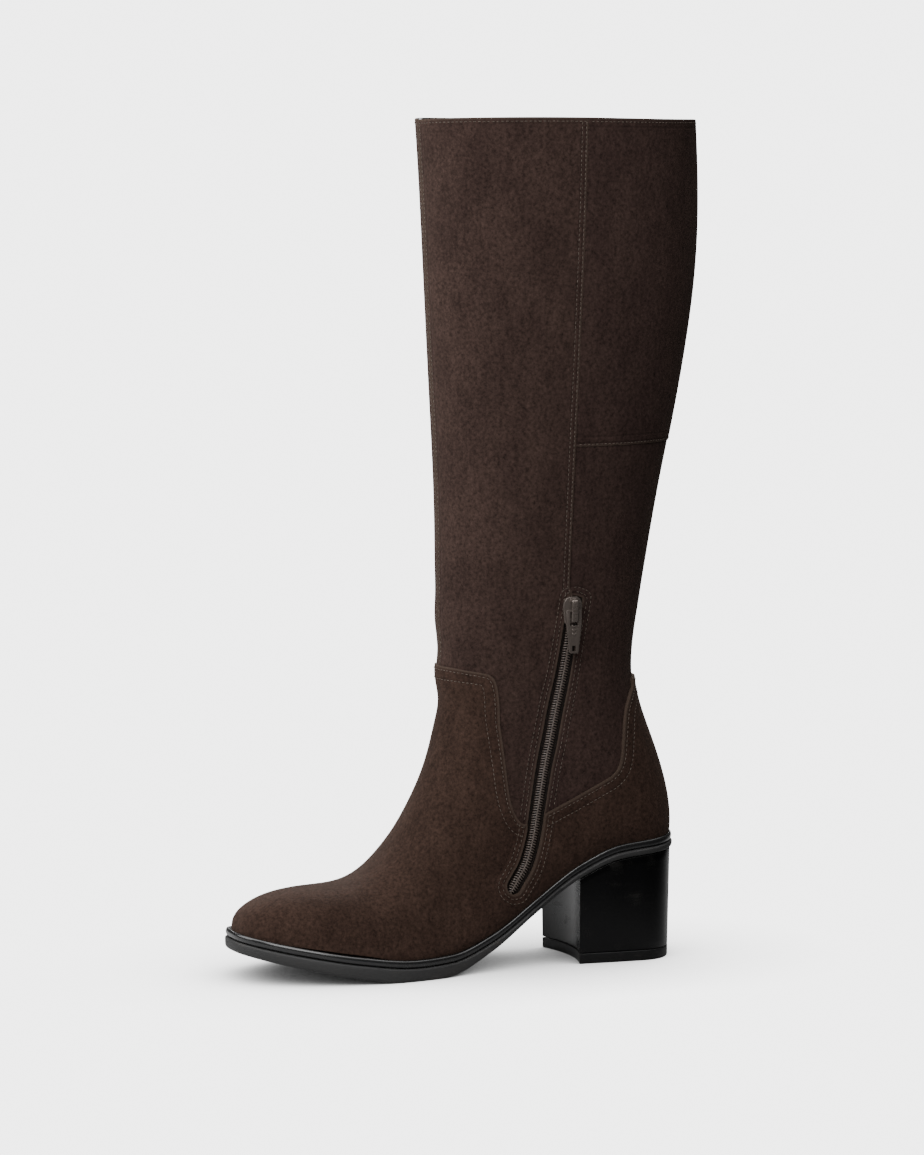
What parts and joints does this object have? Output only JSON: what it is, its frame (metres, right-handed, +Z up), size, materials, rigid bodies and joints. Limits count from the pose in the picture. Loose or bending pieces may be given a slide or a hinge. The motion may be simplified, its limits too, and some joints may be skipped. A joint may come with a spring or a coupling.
{
  "type": "knee-high boot",
  "caption": "Right knee-high boot in dark suede with a soft almond toe, covered block heel, thin glossy welt and an inside ankle zip",
  "frame": {"origin": "Centre of the whole boot's box in plan, at floor level", "axes": "+Z up through the shaft; the toe points along -Y; the inner side with the zip faces +X"},
  "size_m": [0.1012, 0.2624, 0.4503],
  "materials": {
    "suede": "dark brown napped suede, lighter on raised edges",
    "lining": "smooth black lining leather",
    "rubber": "matt black rubber",
    "gloss": "polished black edge and heel",
    "textile": "woven dark brown zip tape",
    "coil": "brown moulded zip coil",
    "metal": "dark bronze plated zinc"
  },
  "bodies": {
    "boot": {"upper": "lining", "foot_overlay": "suede", "shaft_front_medial": "suede", "shaft_front_lateral": "suede", "shaft_back_upper": "suede", "shaft_back_lower": "suede", "insole": "lining", "welt": "gloss", "outsole": "rubber", "heel_block": "gloss", "heel_lift": "rubber", "zip_tape": "textile", "zip_chain": "coil", "zip_slider": "metal"},
    "pull_tab": {"zip_pull": "metal"}
  },
  "joints": [
    {"name": "pull_tab_swing", "type": "hinge", "parent": "boot", "child": "pull_tab", "pos_m": [0.0442, 0.0471, 0.191], "axis": [0, -1, 0], "range_deg": [0, 150]}
  ]
}
